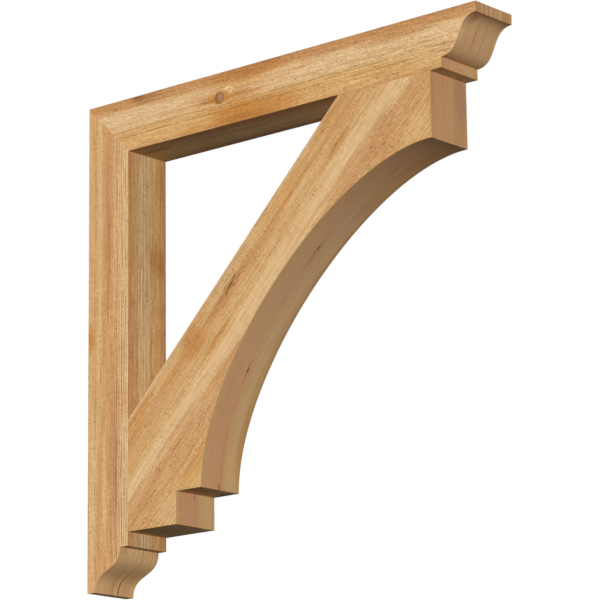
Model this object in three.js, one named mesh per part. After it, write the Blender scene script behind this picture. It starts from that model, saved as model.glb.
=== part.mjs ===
// Wooden corbel bracket: an upright post and a level arm, mitred together at the wall and held by a
// diagonal brace. The arm's nose and the post's foot carry the same moulding, and the brace has an
// arched underside and a stepped foot.
//
// Millimetres. +X points out from the wall, +Y runs across the width and +Z is up. The origin is the
// middle of the face that lies against the wall.
import * as THREE from "three";

// Overall sizes
const HEIGHT = 914.4; // from the post's foot to the top of the arm
const PROJECTION = 914.4; // from the wall to the arm's nose
const WIDTH = 101.6; // all three timbers are flush at both sides
const POST_DEPTH = 101.6; // post, out from the wall
const ARM_HEIGHT = 101.6; // arm, from its underside to its top

// Moulded ends, alike on the arm's nose and the post's foot
const LIP = 19.05; // square edge at the very end
const FILLET = 19.05; // square edge where the moulding meets the plain timber
const MOULDING_LENGTH = 76.2; // along the timber
const S_CURVE_FULLNESS = 0.617; // how far each tangent reaches, as a share of the moulding's length

// Diagonal brace
const REVEAL = 25.4; // plain timber left between each moulding and the brace
const BRACE_BOARD = 228.6; // width of its board, square to the outer edge
const END_FACE = 118.6; // upright end face, down from the arm
const FOOT_FACE = 118.6; // level foot face, out from the post
const STEP_RISE = 59.3; // height of the square step above the foot
const ARCH_FULLNESS = 0.414; // how far each tangent reaches, as a share of the arch's rise or run

// Glue line between touching timbers
const JOINT_GAP = 0.3;

// Curves are cut into this many straight facets
const S_CURVE_FACETS = 28;
const ARCH_FACETS = 56;

// Every outline below is drawn in elevation, x out from the wall and y up, from the top corner at the wall.
const foot = -HEIGHT;
const armUnderside = -ARM_HEIGHT;

// The arm's mitre face is set back along the arm, so that the glue line has its width square to the mitre.
const mitreLength = Math.hypot(POST_DEPTH, ARM_HEIGHT);
const mitreSetBack = (JOINT_GAP * mitreLength) / ARM_HEIGHT;

// Post: back face down, lip under the foot, S-curve and fillet up its front, then the mitre.
function postOutline() {
  const mouldingTop = foot + MOULDING_LENGTH;
  const reach = S_CURVE_FULLNESS * MOULDING_LENGTH;
  const curveEnd = POST_DEPTH - FILLET;
  const outline = new THREE.Shape();
  outline.moveTo(0, 0);
  outline.lineTo(0, foot);
  outline.lineTo(LIP, foot);
  outline.bezierCurveTo(LIP, foot + reach, curveEnd, mouldingTop - reach, curveEnd, mouldingTop);
  outline.lineTo(POST_DEPTH, mouldingTop);
  outline.lineTo(POST_DEPTH, armUnderside);
  outline.closePath();
  return outline;
}

// Arm: mitre, underside out to the fillet, S-curve up to the lip, then back along the top.
function armOutline() {
  const mouldingStart = PROJECTION - MOULDING_LENGTH;
  const reach = S_CURVE_FULLNESS * MOULDING_LENGTH;
  const curveStart = armUnderside + FILLET;
  const outline = new THREE.Shape();
  outline.moveTo(mitreSetBack, 0);
  outline.lineTo(POST_DEPTH + mitreSetBack, armUnderside);
  outline.lineTo(mouldingStart, armUnderside);
  outline.lineTo(mouldingStart, curveStart);
  outline.bezierCurveTo(mouldingStart + reach, curveStart, PROJECTION - reach, -LIP, PROJECTION, -LIP);
  outline.lineTo(PROJECTION, 0);
  outline.closePath();
  return outline;
}

// Brace: a board whose long back edge is parallel to the line between its two outer corners.
function braceOutline() {
  const postCut = POST_DEPTH + JOINT_GAP;
  const armCut = armUnderside - JOINT_GAP;
  const footLevel = foot + MOULDING_LENGTH + REVEAL;
  const endCorner = new THREE.Vector2(PROJECTION - MOULDING_LENGTH - REVEAL, armUnderside - END_FACE);
  const footCorner = new THREE.Vector2(POST_DEPTH + FOOT_FACE, footLevel);

  // Outer edge of the board, and its back edge one board width up and to the left
  const grain = endCorner.clone().sub(footCorner).normalize();
  const acrossGrain = new THREE.Vector2(-grain.y, grain.x);
  const backPoint = footCorner.clone().addScaledVector(acrossGrain, BRACE_BOARD);
  const backAtPost = backPoint.clone().addScaledVector(grain, (postCut - backPoint.x) / grain.x);
  const backAtArm = backPoint.clone().addScaledVector(grain, (armCut - backPoint.y) / grain.y);

  // The step's outer corner lies on the board's outer edge, and the arch springs from it.
  const springing = footCorner.clone().addScaledVector(grain, STEP_RISE / grain.y);
  const rise = endCorner.y - springing.y;
  const run = endCorner.x - springing.x;

  const outline = new THREE.Shape();
  outline.moveTo(postCut, footLevel);
  outline.lineTo(footCorner.x, footCorner.y);
  outline.lineTo(footCorner.x, springing.y);
  outline.lineTo(springing.x, springing.y);
  outline.bezierCurveTo(
    springing.x,
    springing.y + ARCH_FULLNESS * rise,
    endCorner.x - ARCH_FULLNESS * run,
    endCorner.y,
    endCorner.x,
    endCorner.y,
  );
  outline.lineTo(endCorner.x, armCut);
  outline.lineTo(backAtArm.x, backAtArm.y);
  outline.lineTo(backAtPost.x, backAtPost.y);
  outline.closePath();
  return outline;
}

// Rough-sawn softwood, each timber a little different in tone
function sawnTimber(name, colour) {
  return new THREE.MeshStandardMaterial({ name, color: colour, roughness: 0.82, metalness: 0 });
}
const postTimber = sawnTimber("post_timber", "#cf9f68");
const armTimber = sawnTimber("arm_timber", "#d3a46a");
const braceTimber = sawnTimber("brace_timber", "#cd9c66");

// One timber: its outline carried straight across the width
function timber(name, outline, facets, material) {
  const geometry = new THREE.ExtrudeGeometry(outline, {
    depth: WIDTH,
    curveSegments: facets,
    bevelEnabled: false,
  });
  const mesh = new THREE.Mesh(geometry, material);
  mesh.name = name;
  return mesh;
}

// Stands the elevation upright and centres it across the width and against the wall.
const elevation = new THREE.Group();
elevation.rotation.x = Math.PI / 2;
elevation.position.set(0, WIDTH / 2, HEIGHT / 2);
elevation.add(timber("wall_post", postOutline(), S_CURVE_FACETS, postTimber));
elevation.add(timber("top_arm", armOutline(), S_CURVE_FACETS, armTimber));
elevation.add(timber("arched_brace", braceOutline(), ARCH_FACETS, braceTimber));

const bracket = new THREE.Group();
bracket.add(elevation);

export default bracket;
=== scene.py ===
"""Wooden corbel bracket: the finished look of its three rough-sawn timbers, and the studio round them.

Metres, in the frame's own axes: +X out from the wall, +Y across the width, +Z up.
"""

import math

import bpy
import numpy as np
from bpy.props import FloatProperty, FloatVectorProperty, PointerProperty
from bpy.types import Operator, Panel, PropertyGroup
from mathutils import Matrix, Vector


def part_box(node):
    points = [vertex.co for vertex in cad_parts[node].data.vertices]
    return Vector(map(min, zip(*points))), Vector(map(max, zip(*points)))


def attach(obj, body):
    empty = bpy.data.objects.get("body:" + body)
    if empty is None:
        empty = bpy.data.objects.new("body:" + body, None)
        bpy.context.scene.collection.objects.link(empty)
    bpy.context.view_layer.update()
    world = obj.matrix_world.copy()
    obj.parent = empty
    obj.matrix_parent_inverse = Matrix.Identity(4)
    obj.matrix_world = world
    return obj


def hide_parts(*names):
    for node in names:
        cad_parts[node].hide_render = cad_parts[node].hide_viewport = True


bl_info = {
    "name": "Timber corbel bracket",
    "version": (1, 0, 0),
    "blender": (4, 5, 0),
    "location": "3D View > Sidebar > Bracket",
    "description": "Builds the three sawn timbers of a corbel bracket and a soft studio",
    "category": "Add Mesh",
}

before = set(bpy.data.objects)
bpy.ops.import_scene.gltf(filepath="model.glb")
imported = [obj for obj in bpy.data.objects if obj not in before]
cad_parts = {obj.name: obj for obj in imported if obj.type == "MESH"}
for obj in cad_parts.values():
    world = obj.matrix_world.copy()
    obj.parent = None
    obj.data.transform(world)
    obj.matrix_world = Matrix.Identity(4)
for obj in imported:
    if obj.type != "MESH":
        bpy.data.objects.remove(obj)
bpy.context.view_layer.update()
POST_LOW, POST_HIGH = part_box("wall_post")
ARM_LOW, ARM_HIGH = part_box("top_arm")

WALL = POST_LOW.x
POST_FACE = POST_HIGH.x
NOSE = ARM_HIGH.x
TOP = ARM_HIGH.z
ARM_UNDERSIDE = ARM_LOW.z
FOOT = POST_LOW.z
WIDTH = POST_HIGH.y - POST_LOW.y
NEAR, FAR = -WIDTH / 2, WIDTH / 2

MILLIMETRE = 0.001

# Distance between points of the two straight timbers and of the brace
POST_PITCH = 0.0025
BRACE_PITCH = 0.0032

# A turn sharper than this is a corner
CORNER_ANGLE = math.radians(20)

# Glued ends: how far the relief fades out before them, and the even depth in millimetres that the
# narrow faces keep there, with what the wide ones add
JOINT_CLEARANCE = 0.008
JOINT_DEPTH, JOINT_SIDE_DEPTH = 0.15, 0.25


def in_metres(*millimetres):
    return tuple(value * MILLIMETRE for value in millimetres)


# Sizes, tones and lights that a user would change


def length_setting(name, description, default):
    return FloatProperty(name=name, description=description, default=default, unit="LENGTH")


def share_setting(name, description, default):
    return FloatProperty(
        name=name, description=description, default=default, subtype="FACTOR", min=0.0, max=1.0
    )


def angle_setting(name, description, default):
    return FloatProperty(name=name, description=description, default=default, subtype="ANGLE")


def positive_setting(name, description, default):
    return FloatProperty(name=name, description=description, default=default, min=0.0)


class BracketShape(PropertyGroup):
    """Sizes of the mouldings and of the brace."""

    lip: length_setting("Lip", "Square edge at the end of the arm and the post", 0.01905)
    fillet: length_setting("Fillet", "Square edge where each moulding meets the plain timber", 0.01905)
    moulding: length_setting("Moulding length", "Length of each moulding along its timber", 0.0762)
    s_fullness: share_setting(
        "S-curve fullness", "Reach of the S-curve's tangents, as a share of the moulding", 0.617
    )
    reveal: length_setting("Reveal", "Plain timber between each moulding and the brace", 0.0254)
    board: length_setting("Brace board", "Width of the brace's board, square to its outer edge", 0.2286)
    end_face: length_setting("End face", "Height of the brace's upright end face", 0.1186)
    foot_face: length_setting("Foot face", "Depth of the brace's level foot, out from the post", 0.1186)
    step: length_setting("Step", "Height of the square step above the brace's foot", 0.0593)
    arch_fullness: share_setting(
        "Arch fullness", "Reach of the arch's tangents, as a share of its rise or run", 0.414
    )
    joint: length_setting("Joint", "Hair gap between two timbers that are glued together", 0.00005)
    arris: length_setting("Arris", "Radius worn onto each sawn edge", 0.0006)


def tone(red, green, blue):
    """A tone as a screen shows it, 0 to 255, turned into light by the usual screen curve."""
    shares = [value / 255 for value in (red, green, blue)]
    return tuple(((share + 0.055) / 1.055) ** 2.4 for share in shares)


def wood_tone(name, description, *screen):
    return FloatVectorProperty(
        name=name, description=description, default=tone(*screen), subtype="COLOR", min=0, max=1
    )


class TimberTones(PropertyGroup):
    """Tones of the sawn timber, from the palest sapwood to the knots."""

    cream: wood_tone("Cream", "Palest sapwood", 216, 180, 133)
    straw: wood_tone("Straw", "Pale yellow wood", 208, 167, 112)
    honey: wood_tone("Honey", "Warm golden wood", 211, 161, 96)
    tan: wood_tone("Tan", "Middle tone of the timber", 200, 152, 99)
    blush: wood_tone("Blush", "Pale pinkish wood of the narrow faces", 206, 154, 111)
    amber: wood_tone("Amber", "Deep orange wood", 191, 129, 60)
    russet: wood_tone("Russet", "Orange-brown heartwood", 182, 128, 77)
    rose: wood_tone("Rose", "Pinkish heartwood", 189, 137, 93)
    # Umber also goes into painted shade: it darkens the checks, partly darkens the pits, and is mixed into
    # the undersides' patches.
    umber: wood_tone("Umber", "Dark growth lines, pits and checks", 112, 66, 32)
    knot: wood_tone("Knot", "Grey-pink core of a knot", 170, 132, 118)
    # Torn also lightens the post's moulded foot, where it is painted light.
    torn: wood_tone("Torn", "Pale fibres freshly torn beside a knot", 230, 196, 145)
    # Olive tints the painted shade of the arm's and the brace's undersides. It also goes into bands of the
    # post's narrow faces and a few thin lines.
    olive: wood_tone("Olive", "Greenish straw-coloured wood of the narrow faces", 184, 158, 104)


class StudioSettings(PropertyGroup):
    """Camera and light of the studio."""

    camera_place: FloatVectorProperty(
        name="Camera place",
        description="Where the camera stands",
        default=(3.92125, -4.01335, -1.26632),
        subtype="TRANSLATION",
        unit="LENGTH",
    )
    camera_turn: angle_setting("Camera turn", "How far the camera turns from the width's direction", 0.70995)
    camera_rise: angle_setting("Camera rise", "How far the camera looks up", 0.23829)
    camera_lean: angle_setting("Camera lean", "Roll of the camera", -0.01192)
    lens: positive_setting("Lens", "Focal length in millimetres on a 36 mm sensor", 185.8)
    key_strength: positive_setting("Key light", "Strength of the soft key light", 3.5)
    fill_strength: positive_setting("Fill light", "Strength of the soft light from behind", 1.6)
    top_strength: positive_setting("Top light", "Strength of the soft light from overhead", 2.0)
    floor_drop: length_setting("Floor", "Height of the floor below the bracket's middle", 2.2)


# Outlines, as chains of points in elevation (x, z)


def straight(start, end, pitch):
    """Points along a straight line, about one pitch apart: start + share * (end - start)."""
    start, end = np.array(start), np.array(end)
    count = max(2, int(round(np.linalg.norm(end - start) / pitch)) + 1)
    share = np.linspace(0.0, 1.0, count)[:, None]
    return start + share * (end - start)


def curve(start, first_pull, second_pull, end, pitch):
    """Points along a cubic curve: the four control points weighted by the cubic Bernstein shares.
    The curve is taken to be a tenth longer than the straight line between its ends."""
    start, first_pull, second_pull, end = map(np.array, (start, first_pull, second_pull, end))
    reach = np.linalg.norm(end - start)
    count = max(8, int(round(1.1 * reach / pitch)) + 1)
    s = np.linspace(0.0, 1.0, count)[:, None]
    r = 1.0 - s
    return r**3 * start + 3 * r**2 * s * first_pull + 3 * r * s**2 * second_pull + s**3 * end


def chain(legs, arris):
    """Joins legs end to end. Where two legs turn outwards the corner is worn: it becomes a short
    curve that leaves one leg an arris before the corner and meets the next an arris after it."""
    points = [legs[0]]
    for leg in legs[1:]:
        before, corner, after = points[-1][-2], leg[0], leg[1]
        enter = (corner - before) / np.linalg.norm(corner - before)
        leave = (after - corner) / np.linalg.norm(after - corner)
        turn = enter[0] * leave[1] - enter[1] * leave[0]
        if turn > math.sin(CORNER_ANGLE):
            a, b = corner - arris * enter, corner + arris * leave
            middle = 0.25 * a + 0.5 * corner + 0.25 * b
            points[-1] = np.vstack([points[-1][:-1], a])
            points.append(np.vstack([middle, b]))
        points.append(leg[1:])
    return np.vstack(points)


def travelled(points):
    """Distance travelled at each point of a chain."""
    steps = np.linalg.norm(np.diff(points, axis=0), axis=1)
    return np.concatenate([[0.0], np.cumsum(steps)])


def outward(points):
    """Unit normal on the right-hand side of a chain: its central difference turned by a right angle."""
    tangent = np.gradient(points, axis=0)
    normal = np.stack([tangent[:, 1], -tangent[:, 0]], axis=1)
    return normal / np.linalg.norm(normal, axis=1, keepdims=True)


# Relief of sawn timber

# Steps, seed step and gain with no simple ratio, so that the sine of their sum looks like chance
CHANCE_STEPS = np.array([127.1, 311.7, 74.7])
CHANCE_SEED = 19.19
CHANCE_GAIN = 43758.5453

# Kinds of relief: the size of the noise's cells along, across and through the board, and its mean
# depth in millimetres
RIDGES = (0.30, 0.007, 0.012), 0.16
SWELLS = (0.16, 0.045, 0.05), 0.14
RIPPLES = (0.009, 0.016, 0.05), 0.10

# A knot's dish and the groove round its core, in shares of its radius and in millimetres deep
DISH_REACH, DISH_DEPTH = (1.8, 1.5), 0.25
GROOVE_RADIUS, GROOVE_WIDTH, GROOVE_DEPTH = 1.15, 0.28, 0.30


def soft_noise(points, cell, seed):
    """Smooth noise from -1 to 1: a fixed chance value at each corner of a lattice whose cells have
    the given size, blended between corners by the quintic fade 6f^5 - 15f^4 + 10f^3."""
    scaled = points / np.array(cell)
    base = np.floor(scaled)
    f = scaled - base
    fade = f**3 * (f * (6 * f - 15) + 10)
    total = np.zeros(len(points))
    for corner in np.ndindex(2, 2, 2):
        spread = (base + corner) @ CHANCE_STEPS + CHANCE_SEED * seed
        value = 2 * np.modf(np.abs(np.sin(spread)) * CHANCE_GAIN)[0] - 1
        total += value * np.prod(np.where(corner, fade, 1 - fade), axis=1)
    return total


def sawn_relief(on_board, sides, seed):
    """How deep the surface lies below the true plane: long low ridges of grain, slow swells, and
    shorter saw ripples that are strongest on the wide faces. Each is stretched noise, kept positive."""
    ridges, swells, ripples = (
        depth * (1 + soft_noise(on_board, cell, seed + step))
        for step, (cell, depth) in enumerate((RIDGES, SWELLS, RIPPLES))
    )
    rough = 0.5 + 0.5 * sides
    return MILLIMETRE * rough * (ridges + swells + sides * ripples)


def bell(offsets, reach):
    """A smooth hump: e to the minus square of the distance, measured in shares of its reach."""
    return np.exp(-np.sum((offsets / np.array(reach)) ** 2, axis=1))


def knot_relief(on_board, sides, knots):
    """Each knot is a shallow dish with a narrow groove round its core, on the face it shows on."""
    depth = np.zeros(len(on_board))
    for along, across, face, radius, through in knots:
        away = (on_board - (*in_metres(along, across), face)) / (radius * MILLIMETRE)
        shown = np.exp(-((away[:, 2] * radius / through) ** 2)) * sides
        from_ring = np.hypot(away[:, 0], away[:, 1]) - GROOVE_RADIUS
        groove = np.exp(-((from_ring / GROOVE_WIDTH) ** 2))
        depth += shown * (DISH_DEPTH * bell(away[:, :2], DISH_REACH) + GROOVE_DEPTH * groove)
    return MILLIMETRE * depth


def check_relief(sweep, sides, checks):
    """Each check is a slit along the grain of a narrow face, deepest at its middle."""
    depth = np.zeros(len(sweep))
    for along, across, half_length, half_width, deep in checks:
        away = sweep - in_metres(along, across)
        depth += deep * (1 - sides) * bell(away, in_metres(half_length, half_width))
    return MILLIMETRE * depth


# Timbers: a rounded bar carried between a straight back edge and a shaped front chain


def surface_grid(numbers, flip):
    """Quads over one face of the bar, from a grid of vertex numbers."""
    a = numbers[:-1, :-1]
    b = numbers[1:, :-1]
    c = numbers[1:, 1:]
    d = numbers[:-1, 1:]
    order = (a, d, c, b) if flip else (a, b, c, d)
    return np.stack(order, axis=-1).reshape(-1, 4)


class Bar:
    """Surface of a bar between a straight back edge and a shaped front chain.

    A point of the bar is back(i) + share(i, j) * (front(i) - back(i)) in elevation, and width(k)
    across, for whole numbers i, j and k on a box-shaped lattice. Only the lattice's surface is
    kept. Points where two or three faces meet are drawn in along those faces' normals, which
    wears the arris to a small round, except at an end that is glued to another timber.
    """

    def __init__(self, front, back_ends, widths, rows, arris, joints):
        self.front = front
        self.travel = travelled(front)
        back_start, back_end = np.array(back_ends)
        self.back = back_start + (self.travel / self.travel[-1])[:, None] * (back_end - back_start)
        self.widths = widths
        edge = arris / np.linalg.norm(self.front - self.back, axis=1)[:, None]
        inner = np.linspace(0.0, 1.0, rows - 1)[None, :]
        self.shares = np.hstack([np.zeros_like(edge), edge + (1 - 2 * edge) * inner, np.ones_like(edge)])
        self.arris = arris
        self.joints = joints
        self.size = (len(front), rows + 1, len(widths))

    def vertices(self):
        """Lattice numbers, places and unit normals of the surface points."""
        ni, nj, nk = self.size
        i, j, k = np.meshgrid(np.arange(ni), np.arange(nj), np.arange(nk), indexing="ij")
        on_surface = (i == 0) | (i == ni - 1) | (j == 0) | (j == nj - 1) | (k == 0) | (k == nk - 1)
        numbers = np.full(self.size, -1)
        numbers[on_surface] = np.arange(on_surface.sum())
        i, j, k = i[on_surface], j[on_surface], k[on_surface]

        flat = self.back[i] + self.shares[i, j][:, None] * (self.front[i] - self.back[i])
        place = np.stack([flat[:, 0], self.widths[k], flat[:, 1]], axis=1)

        def upright(normal):
            return np.stack([normal[:, 0], np.zeros(len(normal)), normal[:, 1]], axis=1)

        front_normal = upright(outward(self.front))
        back_normal = upright(-outward(self.back))
        run = self.back[-1] - self.back[0]
        caps = []
        for end, sense in ((0, -1.0), (-1, 1.0)):
            line = self.front[end] - self.back[end]
            normal = np.array([line[1], -line[0]]) / np.linalg.norm(line)
            caps.append(upright((normal * np.sign(normal @ run) * sense)[None])[0])

        faces = [
            ((i == 0) & (not self.joints[0]), caps[0]),
            ((i == ni - 1) & (not self.joints[1]), caps[1]),
            (j == 0, back_normal[i]),
            (j == nj - 1, front_normal[i]),
            (k == 0, np.array([0.0, -1.0, 0.0])),
            (k == nk - 1, np.array([0.0, 1.0, 0.0])),
        ]
        total = sum(mask[:, None] * normal for mask, normal in faces)
        meeting = np.maximum(1, sum(mask.astype(int) for mask, _ in faces))
        pull = self.arris * (1 - 1 / np.sqrt(meeting))
        place = place - pull[:, None] * total
        normal = total / np.maximum(1e-9, np.linalg.norm(total, axis=1, keepdims=True))
        return numbers, (i, j, k), place, normal

    def clear_of_joints(self, i):
        """0 at a glued end, rising smoothly to 1 a few millimetres away from it."""
        clear = np.ones(len(i))
        from_ends = (self.travel[i], self.travel[-1] - self.travel[i])
        for away, joint in zip(from_ends, self.joints):
            share = np.clip(away / JOINT_CLEARANCE, 0, 1)
            clear = clear * (share**2 * (3 - 2 * share) if joint else 1)
        return clear

    def faces(self, numbers):
        """Quads, with the kind of face that each is on: 1 for the two wide sides, 0 for the rest."""
        sides = [
            (numbers[:, :, 0], True, 1.0),
            (numbers[:, :, -1], False, 1.0),
            (numbers[0], True, 0.0),
            (numbers[-1], False, 0.0),
            (numbers[:, 0].T, True, 0.0),
            (numbers[:, -1].T, False, 0.0),
        ]
        quads = [surface_grid(grid, flip) for grid, flip, _ in sides]
        kinds = [np.full(len(q), kind) for q, (_, _, kind) in zip(quads, sides)]
        return np.vstack(quads), np.concatenate(kinds)


def build_timber(name, bar, board):
    """Makes a timber's mesh from its bar, with its sawn relief, knots and checks cut into it."""
    numbers, (i, j, _), place, normal = bar.vertices()
    quads, kinds = bar.faces(numbers)
    frame_axes = np.array([board["along"], board["across"], (0, 1, 0)])
    on_board = (place - np.array(board["start"])) @ frame_axes.T
    sides = np.abs(normal[:, 1])
    sweep = np.stack([bar.travel[i], place[:, 1] + WIDTH / 2], axis=1)
    depth = sawn_relief(on_board, sides, board["seed"])
    depth += knot_relief(on_board, sides, board["knots"])
    depth += check_relief(sweep, sides, board["checks"]) * (j == bar.size[1] - 1)
    clear = bar.clear_of_joints(i)
    at_joint = MILLIMETRE * (JOINT_DEPTH + JOINT_SIDE_DEPTH * sides)
    depth = clear * depth + (1 - clear) * at_joint
    place = place - depth[:, None] * normal

    a, b, c, d = (place[quads[:, n]] for n in range(4))
    volume = np.einsum("ij,ij->i", a, np.cross(b, c) + np.cross(c, d)).sum()
    if volume < 0:
        quads = quads[:, ::-1]

    mesh = bpy.data.meshes.new(name)
    mesh.from_pydata(place, [], quads)
    mesh.polygons.foreach_set("use_smooth", np.ones(len(quads), bool))
    mesh.set_sharp_from_angle(angle=CORNER_ANGLE)

    # Sweep map: distance along the shaped front and across the width, in metres
    loops = np.zeros(len(mesh.loops), np.int32)
    mesh.loops.foreach_get("vertex_index", loops)
    mesh.uv_layers.new(name="sweep").data.foreach_set("uv", sweep[loops].ravel())
    mesh.attributes.new("sawn_side", "FLOAT", "FACE").data.foreach_set("value", kinds)

    timber = bpy.data.objects.new(name, mesh)
    bpy.context.scene.collection.objects.link(timber)
    return timber


def across_width(pitch, arris, checks):
    """Places across the width: an arris in from each side face, even between, and closer set at
    each check, so that its slit is cut clean."""
    beside_check = np.array([-1.2, -0.4, 0.4, 1.2])
    closest = 0.25 * MILLIMETRE
    count = int(round(WIDTH / pitch)) + 1
    places = [np.array([NEAR, FAR]), np.linspace(NEAR + arris, FAR - arris, count)]
    for across in sorted({check[1] for check in checks}):
        places.append(NEAR + MILLIMETRE * (across + beside_check))
    places = np.unique(np.concatenate(places))
    close = np.diff(places) < closest
    return places[np.concatenate([[True], ~close])]


def moulded_nose(shape, pitch):
    """The arm's front chain: underside, fillet and S-curve, from the mitre to the lip."""
    root = NOSE - shape.moulding
    reach = shape.s_fullness * shape.moulding
    low, high = ARM_UNDERSIDE + shape.fillet, TOP - shape.lip
    start = (POST_FACE + math.sqrt(2) * shape.joint, ARM_UNDERSIDE)
    return [
        straight(start, (root, ARM_UNDERSIDE), pitch),
        straight((root, ARM_UNDERSIDE), (root, low), pitch),
        curve((root, low), (root + reach, low), (NOSE - reach, high), (NOSE, high), pitch),
    ]


def moulded_foot(shape, pitch):
    """The post's front chain: S-curve, fillet and front face, from the lip up to the mitre."""
    root = FOOT + shape.moulding
    reach = shape.s_fullness * shape.moulding
    near, far = WALL + shape.lip, POST_FACE - shape.fillet
    return [
        curve((near, FOOT), (near, FOOT + reach), (far, root - reach), (far, root), pitch),
        straight((far, root), (POST_FACE, root), pitch),
        straight((POST_FACE, root), (POST_FACE, ARM_UNDERSIDE), pitch),
    ]


def brace_corners(shape):
    """The brace's corners in elevation, worked out as the board is marked out: foot, springing and
    end of its outer edge, both ends of its back edge, and the direction of its grain."""
    foot = np.array([POST_FACE + shape.foot_face, FOOT + shape.moulding + shape.reveal])
    end = np.array([NOSE - shape.moulding - shape.reveal, ARM_UNDERSIDE - shape.end_face])
    grain = (end - foot) / np.linalg.norm(end - foot)
    spring = foot + grain * shape.step / grain[1]
    back = foot + shape.board * np.array([-grain[1], grain[0]])
    back_low = back + grain * (POST_FACE + shape.joint - back[0]) / grain[0]
    back_high = back + grain * (ARM_UNDERSIDE - shape.joint - back[1]) / grain[1]
    return foot, spring, end, back_low, back_high, grain


def arched_front(shape, pitch):
    """The brace's front chain: foot, step, arch and end face, from the post to the arm."""
    foot, spring, end, back_low, back_high, _ = brace_corners(shape)
    rise, run = end[1] - spring[1], end[0] - spring[0]
    lower_pull = (spring[0], spring[1] + shape.arch_fullness * rise)
    upper_pull = (end[0] - shape.arch_fullness * run, end[1])
    return [
        straight((back_low[0], foot[1]), foot, pitch),
        straight(foot, (foot[0], spring[1]), pitch),
        straight((foot[0], spring[1]), spring, pitch),
        curve(spring, lower_pull, upper_pull, end, pitch),
        straight(end, (end[0], back_high[1]), pitch),
    ]


# Shader trees

# How much red, green and blue follow a shade: darker fibres are also the warmer ones
SHADE_POWERS = (0.78, 1.0, 1.6)


class Shades:
    """A shader tree, with short ways to add its nodes and join them."""

    def __init__(self, tree):
        self.tree = tree

    def feed(self, node, inputs):
        """Gives each named input a value, or a joint from another node."""
        for key, value in inputs.items():
            if isinstance(value, bpy.types.NodeSocket):
                self.tree.links.new(value, node.inputs[key])
            else:
                node.inputs[key].default_value = value

    def add(self, kind, inputs=None, **settings):
        """Adds a node with its settings, and feeds its inputs."""
        node = self.tree.nodes.new("ShaderNode" + kind)
        for name, value in settings.items():
            setattr(node, name, value)
        self.feed(node, inputs or {})
        return node

    def group(self, name, inputs):
        """Places one of the shared effects."""
        return self.add("Group", inputs, node_tree=bpy.data.node_groups[name]).outputs

    def put_out(self, **values):
        """Joins values to the outputs of a shared effect."""
        self.feed(self.tree.nodes.new("NodeGroupOutput"), values)

    def math(self, operation, *values):
        return self.add("Math", dict(enumerate(values)), operation=operation).outputs[0]

    def plus(self, first, second):
        return self.math("ADD", first, second)

    def minus(self, first, second):
        return self.math("SUBTRACT", first, second)

    def times(self, first, second):
        return self.math("MULTIPLY", first, second)

    def vector(self, operation, *vectors):
        """A sum on vectors. A dot product and a length come out as one value."""
        result = "Value" if operation in ("DOT_PRODUCT", "LENGTH") else "Vector"
        return self.add("VectorMath", dict(enumerate(vectors)), operation=operation).outputs[result]

    def split(self, vector):
        return self.add("SeparateXYZ", {0: vector}).outputs

    def join(self, x=0.0, y=0.0, z=0.0):
        return self.add("CombineXYZ", {0: x, 1: y, 2: z}).outputs[0]

    def noise(self, vector, scale, detail=2.0, roughness=0.5):
        """Noise of 0 to 1 whose cells are 1 / scale metres along each axis."""
        cells = self.vector("MULTIPLY", vector, scale)
        inputs = {"Vector": cells, "Scale": 1.0, "Detail": detail, "Roughness": roughness}
        return self.add("TexNoise", inputs).outputs[0]

    def fade(self, value, low, high, to_low=0.0, to_high=1.0):
        """A smooth step from to_low at low up to to_high at high."""
        inputs = {"Value": value, "From Min": low, "From Max": high, "To Min": to_low, "To Max": to_high}
        return self.add("MapRange", inputs, interpolation_type="SMOOTHSTEP").outputs[0]

    def swing(self, value, middle, amount, gain):
        """A factor near 1: 1 + (value - middle) * amount * gain."""
        return self.math("MULTIPLY_ADD", self.minus(value, middle), self.times(amount, gain), 1.0)

    def mix(self, share, first, second):
        """Colour mixed from first to second by share."""

        def four(colour):
            return colour if isinstance(colour, bpy.types.NodeSocket) else (*colour, 1.0)

        inputs = {0: share, 6: four(first), 7: four(second)}
        return self.add("Mix", inputs, data_type="RGBA").outputs[2]

    def shade(self, colour, factor):
        """Colour made lighter or darker by a factor near 1, raised to a power for each of its parts."""
        factors = self.join(*[self.math("POWER", factor, power) for power in SHADE_POWERS])
        return self.vector("MULTIPLY", colour, factors)

    def ramp(self, share, stops):
        """Colour along a run of stops, each with its place from 0 to 1 and its colour."""
        node = self.add("ValToRGB", {0: share})
        elements = node.color_ramp.elements
        elements.remove(elements[1])
        for number, (place, colour) in enumerate(stops):
            element = elements[0] if number == 0 else elements.new(place)
            element.position = place
            element.color = (*colour, 1.0)
        return node.outputs[0]


# Effects that the three timbers share

ORIGIN = (0.0, 0.0, 0.0)


def start_group(name, inputs, outputs):
    """Starts a shared effect: its tree, its inputs with their defaults, and its outputs."""
    kinds = {float: "NodeSocketFloat", tuple: "NodeSocketVector"}
    tree = bpy.data.node_groups.new(name, "ShaderNodeTree")
    for label, default in inputs.items():
        socket = tree.interface.new_socket(label, in_out="INPUT", socket_type=kinds[type(default)])
        socket.default_value = default
    for label in outputs:
        socket_type = kinds[tuple if label == "Place" else float]
        tree.interface.new_socket(label, in_out="OUTPUT", socket_type=socket_type)
    return Shades(tree), tree.nodes.new("NodeGroupInput").outputs


def group_board_place():
    """Place on a board: metres along the grain, across it from the back edge, and through it."""
    inputs = {"Point": ORIGIN, "Start": ORIGIN, "Along": (1.0, 0.0, 0.0), "Across": (0.0, 0.0, -1.0)}
    t, entry = start_group("board_place", inputs, ["Place"])
    offset = t.vector("SUBTRACT", entry["Point"], entry["Start"])
    along = t.vector("DOT_PRODUCT", offset, entry["Along"])
    across = t.vector("DOT_PRODUCT", offset, entry["Across"])
    t.put_out(Place=t.join(along, across, t.split(entry["Point"])[1]))


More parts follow.
